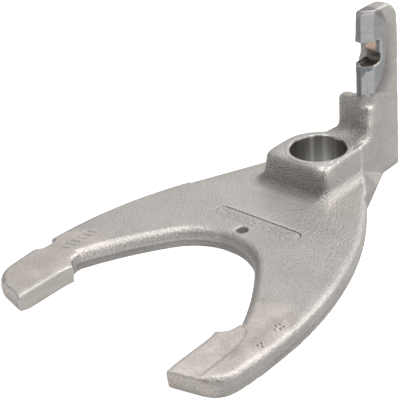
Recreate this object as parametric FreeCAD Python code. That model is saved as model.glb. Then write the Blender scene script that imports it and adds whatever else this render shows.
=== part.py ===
# Shift fork of a manual gearbox: one steel forging with machined places.
# A flat two-armed plate carries a boss with the rail bore, and a tall selector
# finger with a slot stands beside the boss.
# Millimetres. The origin is on the axis of the rail bore, in the flat underside.
# +Z runs along the bore, +X points at the open end, +Y at the side of the finger.

import FreeCAD, Part
import math
import os

V = FreeCAD.Vector

# Plate and arms
plate_thickness = 7.2
reach = 125.4            # bore axis to the ends of the arms
arm_width = 20.8         # from a pad's inner face to the widest place of its arm
flank_radius = 151.0     # outer edge of an arm, seen from above
tip_to_widest = 32.0     # end of an arm back to the widest place
tip_drop = 7.9           # widest place in to the outer corner of an arm's flat end
tip_slant = 3.2
tip_corner_length = 8.9  # rounded outer corner of an arm, along the arm
outer_edge_radius = 2.6
inner_edge_radius = 3.6

# Opening between the arms
opening_root = 54.6      # bore axis to the closed end of the opening
root_radius = 24.5
root_half_angle = 52.0   # half of the closed end's round part, seen from its centre
relief_length = 7.1      # hollow between an arm's inner edge and its pad
relief_depth = 3.2
relief_sag = 1.6

# Pads that ride in the sleeve groove
pad_gap = 67.6
pad_length = 24.7
pad_step_gap = 0.3       # step line to the rounding of the arm's outer edge, at the tip
pad_top_cut = 0.15
pad_nose_length = 5.7    # inner end of a pad, which curves in a little
pad_nose_depth = 0.9
pad_edge_radius = 0.9
pad_step_inset = 1.6     # step line's corner, in front of the pad's inner end
pad_step_bow = 2.4

# Notch in the outer edge of one arm
notch_to_tip = 24.0
notch_length = 9.0
notch_depth = 3.2
notch_slope = 2.4

# Boss and rail bore
bore_diameter = 22.0
bore_chamfer = 0.7
boss_height = 19.6       # underside to the top of the boss
boss_wall = 5.5
boss_front_wall = 3.3
boss_side_wall = 2.4
boss_front_corner = 4.0
boss_draft = 5.0
boss_foot_radius = 4.2
boss_top_radius = 1.6
flare_steps = 5          # outlines the flared foot is drawn through
flare_first_angle = 15.0 # where the flare starts on its round, near level

# Plate behind the arms, around the boss
far_flank_start = 95.0   # end of an arm back to where the far flank runs straight
hub_round_gap = 6.8      # broad face of the finger to the end of the hub's round back
near_flank_start = 122.5 # end of an arm back to where the near flank runs straight
ridge_start = 111.0      # end of an arm back to where the flat beside the finger begins
ridge_foot = 10.2        # lower end of that flat, behind the front of the finger
ridge_head = 4.6         # upper end of that flat, in front of the finger

# Selector finger
finger_face_y = 12.9     # broad outer face
finger_thickness = 6.3
finger_front_gap = 5.2   # bore edge to the front of the finger
finger_width = 19.5      # front to back at the top
finger_back_lean = 2.3   # further back at the underside
finger_top = 71.6
finger_back_radius = 7.5
finger_front_radius = 1.6
finger_bevel = 3.7
bevel_bottom = 32.4

# Web from the boss to the finger
web_thickness = 4.6
web_reach = 9.0          # past the inner face of the finger
web_top = 36.4
web_foot_radius = 4.2
web_corner_radius = 1.2
web_crown_radius = 2.4   # top corner on the side away from the finger

# Rib up the back of the finger
rib_thickness = 3.4
rib_front = 7.0          # behind the front of the finger
rib_top = 62.0
rib_crest_drop = 4.0     # lower at the back than at the front

# Selector slot across the finger
slot_bottom = 49.6
slot_height = 9.4
slot_depth = 8.2
slot_corner = 2.0

# Marks on the plate
hardness_mark_x = 48.8
hardness_mark_y = 1.2
hardness_mark_diameter = 4.4
hardness_mark_depth = 0.7
panel_x = 41.6
panel_y = 2.4
panel_length = 39.0
panel_width = 6.0
panel_groove = 0.5
panel_depth = 0.3

# Values that follow from the dimensions above
bore_radius = bore_diameter / 2
span = pad_gap + 2 * arm_width
tip_width = arm_width - tip_drop
widest_x = reach - tip_to_widest
boss_front = bore_radius + boss_front_wall
boss_back = bore_radius + boss_wall
boss_near = bore_radius + boss_side_wall
finger_front = -(bore_radius + finger_front_gap)
finger_back = finger_front - finger_width
finger_inner_y = finger_face_y - finger_thickness
web_back = finger_front - web_thickness
web_edge_y = finger_inner_y - web_reach
rib_inner_y = finger_inner_y - rib_thickness
hub_x = finger_front - ridge_foot
far_start_x = reach - far_flank_start
near_start_x = reach - near_flank_start
over = 5.0               # how far cutting shapes run past the material
foot_sink = 0.2          # flared feet start this far under the surface they stand on
skin_sink = 0.05         # and end this far inside the wall they rise along
close = 0.01             # two heights nearer than this are the same
round_middle = 1 - math.sqrt(0.5)  # middle of a quarter round, as a share of its radius


def flank_y(x):
    """Half width over the arms at the station x."""
    centre_y = span / 2 - flank_radius
    return centre_y + math.sqrt(flank_radius ** 2 - (x - widest_x) ** 2)


def flank_slope(x):
    """How much the half width grows for each millimetre along the fork."""
    return (widest_x - x) / math.sqrt(flank_radius ** 2 - (x - widest_x) ** 2)


def bow(p, q, sag):
    """Arc from p to q that bulges by sag to the left of the way from p to q."""
    dx = q[0] - p[0]
    dy = q[1] - p[1]
    length = math.hypot(dx, dy)
    mx = (p[0] + q[0]) / 2 - dy / length * sag
    my = (p[1] + q[1]) / 2 + dx / length * sag
    return Part.Arc(V(p[0], p[1], 0), V(mx, my, 0), V(q[0], q[1], 0)).toShape()


def straight(p, q):
    return Part.LineSegment(V(p[0], p[1], 0), V(q[0], q[1], 0)).toShape()


def through(p, m, q):
    return Part.Arc(V(p[0], p[1], 0), V(m[0], m[1], 0), V(q[0], q[1], 0)).toShape()


def prism(edges, bottom, top):
    """Solid of a closed outline between two heights."""
    face = Part.Face(Part.Wire(edges))
    face.translate(V(0, 0, bottom))
    return face.extrude(V(0, 0, top - bottom))


def polygon(points, z):
    corners = [V(x, y, z) for x, y in points]
    return Part.makePolygon(corners + [corners[0]])


def level(z, height):
    return abs(z - height) < close


def ahead(p, angle, distance):
    """Point at a distance from p, along a direction in degrees from +X."""
    turn = math.radians(angle)
    return (p[0] + distance * math.cos(turn), p[1] + distance * math.sin(turn))


def way_to(p, q):
    """Direction from p to q, in degrees from +X."""
    return math.degrees(math.atan2(q[1] - p[1], q[0] - p[0])) % 360


def sag_from(p, angle, q):
    """How far an arc from p to q bulges if it leaves p at an angle."""
    chord = math.hypot(q[0] - p[0], q[1] - p[1])
    return chord / 2 * math.tan(math.radians((angle - way_to(p, q)) / 2))


# Plan of one arm's inner edge, from the closed end of the opening to the tip
root_centre = (opening_root + root_radius, 0)
root_mid = ahead(root_centre, 180 - root_half_angle / 2, root_radius)
root_end = ahead(root_centre, 180 - root_half_angle, root_radius)
pad_y = pad_gap / 2
pad_step_y = pad_y + tip_width - outer_edge_radius - pad_step_gap
pad_corner = (reach - pad_length, pad_y - pad_nose_depth)
arm_end = (reach - pad_length - relief_length, pad_y + relief_depth)
root_end_angle = 90 - root_half_angle
arm_sag = sag_from(root_end, root_end_angle, arm_end)
arm_end_angle = 2 * way_to(root_end, arm_end) - root_end_angle
bend_end_y = (arm_end[1] + pad_step_y - inner_edge_radius) / 2
bend_chord = (bend_end_y - arm_end[1]) / math.sin(math.radians(arm_end_angle / 2))
bend_end = ahead(arm_end, arm_end_angle / 2, bend_chord)
bend_sag = sag_from(arm_end, arm_end_angle, bend_end)

# Plan of an arm's end and of its outer edge
pad_nose = (pad_corner[0] + pad_nose_length, pad_y)
nose_sag = sag_from(pad_nose, 180, pad_corner)
tip_inner = (reach, pad_y)
tip_outer = (reach - tip_slant, pad_y + tip_width)


def tip_at(y):
    """Point of the slanting end face at a distance from the fork's centre line."""
    return (reach - tip_slant * (y - pad_y) / tip_width, y)


tip_middle = tip_at(bend_end_y)
flank_end_x = tip_outer[0] - tip_corner_length
flank_end = (flank_end_x, flank_y(flank_end_x))
flank_end_angle = math.degrees(math.atan(flank_slope(flank_end_x)))
corner_sag = sag_from(flank_end, flank_end_angle, tip_outer)


def mirrored(p):
    return (p[0], -p[1])


def arm_inner(side):
    """Edges from the closed end of the opening to the end of an arm, without its pad."""
    flip = mirrored if side < 0 else tuple
    return [
        through((opening_root, 0), flip(root_mid), flip(root_end)),
        bow(flip(root_end), flip(arm_end), arm_sag * side),
        bow(flip(arm_end), flip(bend_end), bend_sag * side),
        straight(flip(bend_end), flip(tip_middle)),
    ]


def arm_outer(side, start):
    """Edges from the end of an arm along its outer flank to a station near the boss."""
    flip = mirrored if side < 0 else tuple
    middle_x = (flank_end_x + start[0]) / 2
    return [
        straight(flip(tip_middle), flip(tip_outer)),
        bow(flip(tip_outer), flip(flank_end), -corner_sag * side),
        through(flip(flank_end), (middle_x, flank_y(middle_x) * side), start),
    ]


def make_plate():
    """Flat plate with both arms, before its pads are set in."""
    near_start = (near_start_x, flank_y(near_start_x))
    near_foot = (hub_x, finger_face_y)
    far_start = (far_start_x, -flank_y(far_start_x))
    hub_far = (hub_x, finger_face_y - hub_round_gap)
    lean = math.atan(flank_slope(far_start_x))
    meet_y = far_start[1] + math.tan(lean) * (far_start_x - hub_x)
    tangent = hub_far[1] - meet_y
    far_corner = (hub_x + tangent * math.cos(lean), meet_y - tangent * math.sin(lean))
    hub_sag = sag_from(far_corner, 180 - math.degrees(lean), hub_far)
    back = [
        straight(far_start, far_corner),
        bow(far_corner, hub_far, hub_sag),
        straight(hub_far, near_foot),
        straight(near_foot, near_start),
    ]
    far_side = arm_inner(-1) + arm_outer(-1, far_start)
    near_side = arm_inner(1) + arm_outer(1, near_start)
    outline = Part.__sortEdges__(far_side + back + near_side)
    return prism(outline, 0, plate_thickness)


def middle_of(edge):
    return edge.valueAt((edge.FirstParameter + edge.LastParameter) / 2)


def on_top(edge):
    return level(middle_of(edge).z, plate_thickness)


def in_opening(edge):
    """A top edge of the opening's closed end or of an arm's inner side."""
    m = middle_of(edge)
    inside = abs(m.y) < bend_end_y + close and m.x < tip_middle[0]
    return on_top(edge) and inside and m.x > opening_root - 1


def on_flank(edge):
    """A top edge of an arm's outer side, of its rounded corner or round the hub."""
    m = middle_of(edge)
    on_arm = abs(m.y) > pad_y + tip_width and m.x < tip_outer[0]
    return on_top(edge) and (on_arm or m.x < opening_root - 1)


def round_plate(plate):
    """Rounds the plate's upper rims: widely in the opening, less along the flanks."""
    plate = plate.makeFillet(inner_edge_radius, [e for e in plate.Edges if in_opening(e)])
    return plate.makeFillet(outer_edge_radius, [e for e in plate.Edges if on_flank(e)])


def pad_outline(side):
    """Plan of a pad: straight inner face, hollow inner end, step towards the arm."""
    flip = mirrored if side < 0 else tuple
    step_start = (pad_corner[0] + pad_step_inset, pad_step_y)
    return [
        bow(flip(pad_corner), flip(pad_nose), -nose_sag * side),
        straight(flip(pad_nose), flip(tip_inner)),
        straight(flip(tip_inner), flip(tip_at(pad_step_y))),
        straight(flip(tip_at(pad_step_y)), flip(step_start)),
        bow(flip(step_start), flip(arm_end), -pad_step_bow * side),
        bow(flip(arm_end), flip(pad_corner), relief_sag * side),
    ]


def make_pad(side):
    """One pad, with the upper edge of its inner face softened."""
    pad = prism(pad_outline(side), 0, plate_thickness - pad_top_cut)
    inner = []
    for edge in pad.Edges:
        m = middle_of(edge)
        face = pad_corner[0] < m.x < tip_inner[0] and abs(m.y) < pad_y + close
        if face and level(m.z, plate_thickness - pad_top_cut):
            inner.append(edge)
    return pad.makeFillet(pad_edge_radius, inner)


def set_in_pads(plate):
    """Replaces the inner band of each arm's end by its machined pad."""
    for side in (-1, 1):
        pocket = prism(pad_outline(side), -over, plate_thickness + over)
        plate = plate.cut(pocket).fuse(make_pad(side))
    return plate.removeSplitter()


def boss_outline(grow):
    """Plan of the boss, widened all round by grow: round behind on the far side only."""
    front = boss_front + grow
    near = boss_near + grow
    back = boss_back + grow
    corner = boss_front_corner + grow / 2
    half = corner * round_middle
    return [
        straight((corner - back, near), (front - corner, near)),
        through((front - corner, near), (front - half, near - half), (front, near - corner)),
        straight((front, near - corner), (front, corner - back)),
        through((front, corner - back), (front - half, half - back), (front - corner, -back)),
        straight((front - corner, -back), (0, -back)),
        through((0, -back), ahead((0, 0), 225, back), (-back, 0)),
        straight((-back, 0), (-back, near - corner)),
        through((-back, near - corner), (half - back, near - half), (corner - back, near)),
    ]


def boss_section(z, grow):
    wire = Part.Wire(boss_outline(grow))
    wire.translate(V(0, 0, z))
    return wire


def make_boss():
    """Boss with drafted walls, a softened rim and a foot that flares into the plate."""
    slope = math.tan(math.radians(boss_draft))
    root = plate_thickness / 2
    base = boss_section(root, (boss_height - root) * slope)
    wall = Part.makeLoft([base, boss_section(boss_height, 0)], True, True)
    rim = [e for e in wall.Edges if level(middle_of(e).z, boss_height)]
    wall = wall.makeFillet(boss_top_radius, rim)

    sections = []
    for step in range(flare_steps):
        share = step / (flare_steps - 1)
        turn = math.radians(flare_first_angle + (90 - flare_first_angle) * share)
        z = plate_thickness + boss_foot_radius * (1 - math.cos(turn)) - foot_sink
        flare = boss_foot_radius * (1 - math.sin(turn)) - skin_sink
        sections.append(boss_section(z, (boss_height - z) * slope + flare))
    return wall.fuse(Part.makeLoft(sections, True, False))


def upright(edges, y0, y1):
    """Solid of an outline drawn in X and Z, between two places along Y."""
    face = Part.Face(Part.Wire(edges))
    face.rotate(V(0, 0, 0), V(1, 0, 0), 90)
    face.translate(V(0, y0, 0))
    return face.extrude(V(0, y1 - y0, 0))


def rounded(corner, radius, sx, sy):
    """Arc round a corner: it starts radius along sx from it and ends radius along sy."""
    half = radius * round_middle
    start = (corner[0] + sx * radius, corner[1])
    end = (corner[0], corner[1] + sy * radius)
    return start, end, through(start, (corner[0] + sx * half, corner[1] + sy * half), end)


def make_blade():
    """Blade of the finger: leaning back edge, rounded top corners, bevelled front."""
    foot_back = finger_back - finger_back_lean
    lean = finger_back_lean / finger_top
    low = (finger_back - lean * finger_back_radius, finger_top - finger_back_radius)
    high = (finger_back + finger_back_radius, finger_top)
    half = finger_back_radius * round_middle
    nose, chin, nose_arc = rounded((finger_front, finger_top), finger_front_radius, -1, -1)
    side = [
        straight((foot_back, 0), low),
        through(low, (finger_back + half, finger_top - half), high),
        straight(high, nose),
        nose_arc,
        straight(chin, (finger_front, 0)),
        straight((finger_front, 0), (foot_back, 0)),
    ]
    blade = upright(side, finger_inner_y, finger_face_y)
    bevel = Part.Face(polygon([
        (finger_front + over, finger_face_y + over),
        (finger_front - finger_bevel - over, finger_face_y + over),
        (finger_front + over, finger_face_y - finger_bevel - over),
    ], bevel_bottom))
    bevel = bevel.extrude(V(0, 0, finger_top))
    return blade.cut(bevel)


def make_rib():
    """Rib behind the blade, on the side of the rail bore."""
    front = finger_front - rib_front
    back = finger_back
    crest = rib_top - rib_crest_drop
    side = Part.makePolygon([
        V(front, 0, 0), V(front, 0, rib_top), V(back, 0, crest), V(back, 0, 0), V(front, 0, 0)])
    face = Part.Face(side)
    face.translate(V(0, rib_inner_y, 0))
    return face.extrude(V(0, finger_face_y - rib_inner_y - finger_thickness / 2, 0))


def make_web():
    """Web that joins boss and finger, flared at its foot in two directions."""
    fx, fz, front_arc = rounded((finger_front, boss_height - foot_sink), web_foot_radius, 1, 1)
    top_start, top_end, top_arc = rounded((finger_front, web_top), web_corner_radius, -1, -1)
    front_view = [
        straight((web_back, 0), (web_back, web_top)),
        straight((web_back, web_top), top_start),
        top_arc,
        straight(top_end, fz),
        front_arc,
        straight(fx, (fx[0], 0)),
        straight((fx[0], 0), (web_back, 0)),
    ]
    along = upright(front_view, web_edge_y - web_foot_radius, finger_face_y)
    gx, gz, side_arc = rounded((web_edge_y, boss_height - foot_sink), web_foot_radius, -1, 1)
    crown_start, crown_end, crown_arc = rounded((web_edge_y, web_top), web_crown_radius, 1, -1)
    side_view = [
        straight((finger_face_y, 0), (finger_face_y, web_top)),
        straight((finger_face_y, web_top), crown_start),
        crown_arc,
        straight(crown_end, gz),
        side_arc,
        straight(gx, (gx[0], 0)),
        straight((gx[0], 0), (finger_face_y, 0)),
    ]
    face = Part.Face(Part.Wire(side_view))
    face.rotate(V(0, 0, 0), V(1, 0, 0), 90)
    face.rotate(V(0, 0, 0), V(0, 0, 1), 90)
    face.translate(V(web_back, 0, 0))
    across = face.extrude(V(fx[0] - web_back, 0, 0))
    return along.common(across)


def side_cutter():
    """What is trimmed off beside the finger: a flat that leans in, upright above the plate."""
    ridge_x = reach - ridge_start
    head = (finger_front + ridge_head, finger_face_y)
    rise = way_to(head, (ridge_x, flank_y(ridge_x)))
    lean = (head[0] - hub_x) / (plate_thickness + foot_sink)
    outside_y = span
    behind = finger_back - finger_back_lean - over

    def outline(height):
        """Plan of what goes, at a height above the underside."""
        bend = (head[0] - lean * (plate_thickness - height), finger_face_y)
        beyond = ahead(bend, rise, arm_width + boss_front + span / 4)
        left = behind - lean * (plate_thickness - height)
        return Part.Face(polygon([
            (left, finger_face_y), bend, beyond, (beyond[0], outside_y), (left, outside_y)], height))

    depth = plate_thickness + over
    lower = outline(-over).extrude(V(lean * depth, 0, depth))
    upper = outline(plate_thickness).extrude(V(0, 0, finger_top))
    return lower.fuse(upper)


def make_bore():
    """Rail bore through the boss, chamfered at both mouths."""
    bore = Part.makeCylinder(bore_radius, boss_height + 2 * over, V(0, 0, -over))
    mouth = bore_radius + bore_chamfer
    top = Part.makeCone(bore_radius, mouth, bore_chamfer, V(0, 0, boss_height - bore_chamfer))
    above = Part.makeCylinder(mouth, over, V(0, 0, boss_height))
    bottom = Part.makeCone(mouth, bore_radius, bore_chamfer, V(0, 0, 0))
    return bore.fuse([top, above, bottom])


def make_slot():
    """Selector slot: open to the front and to both sides, round in its two corners."""
    floor = finger_front - slot_depth
    low = slot_bottom
    high = slot_bottom + slot_height
    low_start, low_end, low_arc = rounded((floor, low), slot_corner, 1, 1)
    high_start, high_end, high_arc = rounded((floor, high), slot_corner, 1, -1)
    mouth = finger_front + over
    view = [
        straight((mouth, low), low_start),
        low_arc,
        straight(low_end, high_end),
        high_arc,
        straight(high_start, (mouth, high)),
        straight((mouth, high), (mouth, low)),
    ]
    return upright(view, rib_inner_y - over, finger_face_y + over)


def make_notch():
    """Shallow notch in the outer edge of the far arm."""
    start_x = reach - notch_to_tip
    end_x = start_x - notch_length
    floor_y = -(flank_y(start_x) - notch_depth)
    outside_y = floor_y - over
    outline = polygon([
        (start_x, floor_y - notch_depth), (start_x - notch_slope, floor_y), (end_x, floor_y),
        (end_x, outside_y), (start_x, outside_y)], -over)
    return Part.Face(outline).extrude(V(0, 0, plate_thickness + 2 * over))


def make_hardness_mark():
    """Round dimple left by a hardness test."""
    ball = ((hardness_mark_diameter / 2) ** 2 + hardness_mark_depth ** 2) / (2 * hardness_mark_depth)
    centre_z = plate_thickness - hardness_mark_depth + ball
    return Part.makeSphere(ball, V(hardness_mark_x, hardness_mark_y, centre_z))


def stadium(width, length):
    """Plan of a long panel with round ends, lying across the fork."""
    half = (length - width) / 2
    r = width / 2
    x = panel_x
    y = panel_y
    return [
        straight((x + r, y - half), (x + r, y + half)),
        through((x + r, y + half), (x, y + half + r), (x - r, y + half)),
        straight((x - r, y + half), (x - r, y - half)),
        through((x - r, y - half), (x, y - half - r), (x + r, y - half)),
    ]


def make_panel():
    """Fine groove round the marking panel on the plate."""
    bottom = plate_thickness - panel_depth
    outer = prism(stadium(panel_width, panel_length), bottom, plate_thickness + over)
    inner_width = panel_width - 2 * panel_groove
    inner_length = panel_length - 2 * panel_groove
    inner = prism(stadium(inner_width, inner_length), bottom - over, plate_thickness + 2 * over)
    return outer.cut(inner)


def build_fork():
    plate = set_in_pads(round_plate(make_plate()))
    body = plate.fuse(make_boss()).cut(side_cutter())
    body = body.fuse([make_blade(), make_web(), make_rib()]).removeSplitter()
    for cutter in (make_bore(), make_slot(), make_notch(), make_hardness_mark(), make_panel()):
        body = body.cut(cutter)
    return body.Solids[0]


fork = build_fork()
print("solids", len(fork.Solids), "valid", fork.isValid(), "volume mm3", round(fork.Volume))
box = fork.optimalBoundingBox(False)
print("size mm", round(box.XLength, 1), round(box.YLength, 1), round(box.ZLength, 1))
os.makedirs("parts", exist_ok=True)
fork.exportStep("parts/shift_fork.step")
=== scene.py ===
# %% [markdown]
# # A shift fork, dressed for the camera
# A shift fork slides a sleeve along in a gearbox. This one is a single steel
# forging: a flat fork with two arms, a boss bored for its rail, and a tall
# finger with a slot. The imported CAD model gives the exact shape. This script
# gives that shape the looks of the real thing: blasted skin, softened
# forging edges, machined places and a clean studio.

# %% Load the fixed frame
import math

import bmesh
import bpy
import numpy as np
from mathutils import Matrix, Vector


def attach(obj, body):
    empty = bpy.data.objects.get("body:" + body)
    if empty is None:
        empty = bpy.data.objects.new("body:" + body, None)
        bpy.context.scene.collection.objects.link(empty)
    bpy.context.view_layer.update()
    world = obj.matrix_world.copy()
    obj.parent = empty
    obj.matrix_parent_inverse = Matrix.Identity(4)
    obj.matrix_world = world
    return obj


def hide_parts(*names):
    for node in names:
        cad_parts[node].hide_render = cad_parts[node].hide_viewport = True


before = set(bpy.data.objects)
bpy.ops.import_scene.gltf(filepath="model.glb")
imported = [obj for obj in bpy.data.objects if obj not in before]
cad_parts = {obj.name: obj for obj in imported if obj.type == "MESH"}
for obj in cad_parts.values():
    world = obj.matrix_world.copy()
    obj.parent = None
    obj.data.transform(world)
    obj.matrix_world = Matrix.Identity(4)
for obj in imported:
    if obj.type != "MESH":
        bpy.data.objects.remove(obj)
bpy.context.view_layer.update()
scene = bpy.context.scene
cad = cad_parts["shift_fork"]

# %% [markdown]
# ## The camera
# A photograph has one exact standpoint. It can be worked out from things
# whose true shape is known, such as the round bore and the square finger.
# Here the camera stands 0.45 m away with a long lens, and the picture is a
# crop from the left of a wider one, so the lens is shifted a little. Three
# angles aim it: its bearing on the floor, its tilt down and its roll.

# %% Where the camera points
MM = 0.001
BEARING, TILT, ROLL = (math.radians(a) for a in (132.25, 27.4, -4.21))
right = Vector((math.cos(BEARING), math.sin(BEARING), 0))
level = Vector((-math.sin(BEARING), math.cos(BEARING), 0))
forward = math.cos(TILT) * level - math.sin(TILT) * Vector((0, 0, 1))
down = -(math.sin(TILT) * level + math.cos(TILT) * Vector((0, 0, 1)))
rolled_right = math.cos(ROLL) * right - math.sin(ROLL) * down
rolled_down = math.sin(ROLL) * right + math.cos(ROLL) * down
print("camera looks along", [round(v, 3) for v in forward])

# %% The camera itself
STANDPOINT = Vector((315.2, 238.75, 220.9)) * MM
camera = bpy.data.objects.new("camera", bpy.data.cameras.new("camera"))
scene.collection.objects.link(camera)
turn = Matrix((rolled_right, -rolled_down, -forward)).transposed()
camera.matrix_world = Matrix.Translation(STANDPOINT) @ turn.to_4x4()
camera.data.sensor_width = 36
camera.data.lens = 102.8
camera.data.shift_x = -0.0695
camera.data.shift_y = -0.0983
camera.data.clip_start = 0.02
camera.data.clip_end = 20
scene.camera = camera
scene.view_settings.view_transform = "Standard"
print("camera at mm", [round(v * 1000) for v in camera.location])

# %% [markdown]
# ## Helpers for colours and nodes
# Colours are easiest to pick as hex numbers, as in a paint program. Those
# are written for a screen, and a shader works with amounts of light, so one
# function turns the one into the other. A second one adds any node with its
# options and its links in one line, and keeps the materials short to read.

# %% Colours and nodes
def steel_tone(hex_text):
    """A colour written as sRGB hex, as the linear numbers a shader needs."""
    shares = [int(hex_text[i:i + 2], 16) / 255 for i in (0, 2, 4)]
    linear = [c / 12.92 if c < 0.04045 else ((c + 0.055) / 1.055) ** 2.4 for c in shares]
    return (*linear, 1.0)


def add(tree, kind, settings=None, **inputs):
    """Adds one node. Settings are its options; inputs are numbers or links."""
    node = tree.nodes.new("ShaderNode" + kind)
    for name, value in (settings or {}).items():
        setattr(node, name, value)
    for name, value in inputs.items():
        key = int(name[1:]) if name[0] == "i" and name[1:].isdigit() else name.replace("_", " ")
        if isinstance(value, bpy.types.NodeSocket):
            tree.links.new(value, node.inputs[key])
        else:
            node.inputs[key].default_value = value
    return node


def new_material(name):
    """An empty node material and its tree."""
    material = bpy.data.materials.new(name)
    material.use_nodes = True
    material.node_tree.nodes.clear()
    return material, material.node_tree


print("light grey steel is", [round(c, 3) for c in steel_tone("b4b2b0")[:3]])

# %% [markdown]
# ## The table
# The fork lies on a white table. A white floor under soft light never comes
# out quite white, and more light would burn out the steel. So the floor
# glows by itself, but only for rays that come straight from the camera.
# Lamps still cast the fork's faint shadow on it. In the steel's reflections
# the glow counts for a fifth, which keeps the sides of the fork from
# turning as pale as its top.

# %% Table top
FLOOR_SIZE = 12.0        # metres
FLOOR_Z = -0.05 * MM     # just under the fork, so that the two faces don't flicker
half = FLOOR_SIZE / 2
floor_mesh = bpy.data.meshes.new("table_top")
corners = [(-half, -half, FLOOR_Z), (half, -half, FLOOR_Z), (half, half, FLOOR_Z), (-half, half, FLOOR_Z)]
floor_mesh.from_pydata(corners, [], [(0, 1, 2, 3)])
floor = bpy.data.objects.new("table_top", floor_mesh)
scene.collection.objects.link(floor)
print("floor", floor.name, "is", FLOOR_SIZE, "m wide")

# %% White laminate
material, tree = new_material("white_table_laminate")
path = add(tree, "LightPath")
diffuse = add(tree, "BsdfDiffuse", Color=steel_tone("cccccc"))
glow = add(tree, "Emission", Color=(1, 1, 1, 1), Strength=0.95)
both = add(tree, "AddShader", i0=diffuse.outputs[0], i1=glow.outputs[0])
mirrored = add(tree, "Math", {"operation": "MULTIPLY"}, i0=path.outputs["Is Glossy Ray"], i1=0.2)
direct = add(tree, "Math", {"operation": "MAXIMUM"}, i0=path.outputs["Is Camera Ray"],
             i1=mirrored.outputs[0])
seen = add(tree, "MixShader", Fac=direct.outputs[0], i1=diffuse.outputs[0], i2=both.outputs[0])
add(tree, "OutputMaterial", Surface=seen.outputs[0])
floor.data.materials.append(material)
print("material", material.name)

# %% [markdown]
# ## The room's light
# Bare steel has no colour of its own to show: it shows the room. An evenly
# lit room makes it look like grey plastic. This room is bright behind the
# fork and dim in front, with a smooth change between, as in a studio with
# one big window. The flat top of the fork mirrors the bright end. Its
# upright faces mirror the floor and the dim end, and turn out darker. The
# camera sees plain white instead.

# %% Sky of the studio
TOWARDS_WINDOW = (-0.85, 0.35, 0.2)
world = bpy.data.worlds.new("studio")
scene.world = world
world.use_nodes = True
tree = world.node_tree
tree.nodes.clear()
path = add(tree, "LightPath")
direction = add(tree, "TexCoord").outputs["Generated"]
behind = add(tree, "VectorMath", {"operation": "DOT_PRODUCT"}, i0=direction, i1=TOWARDS_WINDOW)
room = add(tree, "MapRange", {"interpolation_type": "SMOOTHSTEP"}, Value=behind.outputs["Value"],
           From_Min=-0.55, From_Max=0.85, To_Min=0.2, To_Max=1.2)
white = add(tree, "Background", Color=(1, 1, 1, 1), Strength=1.0)
soft = add(tree, "Background", Color=(1, 1, 1, 1), Strength=room.outputs["Result"])
sky = add(tree, "MixShader", Fac=path.outputs["Is Camera Ray"], i1=soft.outputs[0], i2=white.outputs[0])
add(tree, "OutputWorld", Surface=sky.outputs[0])
print("world", world.name, "brightest towards", TOWARDS_WINDOW)

# %% [markdown]
# Four softboxes add the highlights. A lamp that is large for its distance
# gives a wide, soft-edged shine on metal, where a small one would give a
# hard spark. The brightest stands behind on the right. The last one is low
# and weak, and only lifts the upright faces at the front.

# %% Softboxes
def softbox(name, where, size, watts, aim=(0.04, 0.0, 0.01)):
    """A square soft lamp at a place in metres that points at the fork."""
    data = bpy.data.lights.new(name, "AREA")
    data.shape = "SQUARE"
    data.size = size
    data.energy = watts
    lamp = bpy.data.objects.new(name, data)
    lamp.location = where
    lamp.rotation_mode = "QUATERNION"
    lamp.rotation_quaternion = (Vector(aim) - Vector(where)).to_track_quat("-Z", "Y")
    scene.collection.objects.link(lamp)
    return lamp


lamps = [
    softbox("key_right_above", (-0.55, 0.6, 0.95), 0.7, 8.0),
    softbox("overhead", (-0.15, -0.2, 1.2), 0.9, 5.0),
    softbox("fill_left", (0.75, -0.65, 0.6), 0.8, 1.0),
    softbox("low_left", (0.85, -0.80, 0.22), 0.5, 0.9),
]
print("lamps", [lamp.name for lamp in lamps])

# %% [markdown]
# ## The driving sizes
# These few sizes of the CAD model say where its parts are. From here on the
# work is done in millimetres, with the rail's axis as the Z axis, and the
# mesh goes back to metres at the end.

# %% Sizes of the fork in mm
BORE = 11.0              # radius of the rail's bore
BOSS_TOP = 19.6          # top of the boss
PLATE = 7.2              # top of the plate
PAD_TOP = 7.05           # top of the pads in the CAD model
PAD = 33.8               # half the distance between the pads' faces
FACE = 12.9              # broad face of the finger
FRONT = -16.2            # front edge of the finger
SLOT_FLOOR = 49.6        # lower face of the slot
TIP = 125.4              # ends of the arms
PARTING = 3.6            # height at which the two halves of the die met
BEVEL = 3.7              # width of the ground bevel along X and Y
print("plate", PLATE, "mm thick, bore", 2 * BORE, "mm wide")

# %% [markdown]
# ## From sharp solid to soft forging
# A drop forging has no razor edges: the die rounds every corner, and
# blasting takes off the rest. The CAD solid has the large roundings only.
# The copy first gets the low end of the finger's bevel. The grinder ran a
# little way into the web there, so a three-sided wedge is cut from it.

# %% A copy of the CAD surface, and the low end of the bevel
mesh = cad.data.copy()
mesh.transform(Matrix.Scale(1 / MM, 4))
mesh.materials.clear()
fork = bpy.data.objects.new("fork_forging", mesh)
scene.collection.objects.link(fork)

OVER = 0.7               # how far the wedge stands out of the steel, for a clean cut
x0, y0 = FRONT + OVER, FACE + OVER
reach = BEVEL + 2 * OVER
outline = [(x0 - reach, y0), (x0, y0 - reach), (x0, y0)]
wedge_mesh = bpy.data.meshes.new("bevel_end")
wedge_mesh.from_pydata([(x, y, z) for z in (32.6, 39.0) for x, y in outline], [],
                       [(0, 2, 1), (3, 4, 5), (0, 1, 4, 3), (1, 2, 5, 4), (2, 0, 3, 5)])
wedge = bpy.data.objects.new("bevel_end", wedge_mesh)
scene.collection.objects.link(wedge)
cut = fork.modifiers.new("bevel runs on", "BOOLEAN")
cut.operation = "DIFFERENCE"
cut.solver = "EXACT"
cut.object = wedge
print("wedge from", outline[0], "to", outline[1])

# %% [markdown]
# A voxel remesh rebuilds the surface as an even net of small squares. That
# suits what comes next, because averaging works best where all faces are
# alike. A bevel modifier could round the outward edges, but it can't soften
# the inward ones, where the boss and the finger grow out of the plate.

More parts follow.
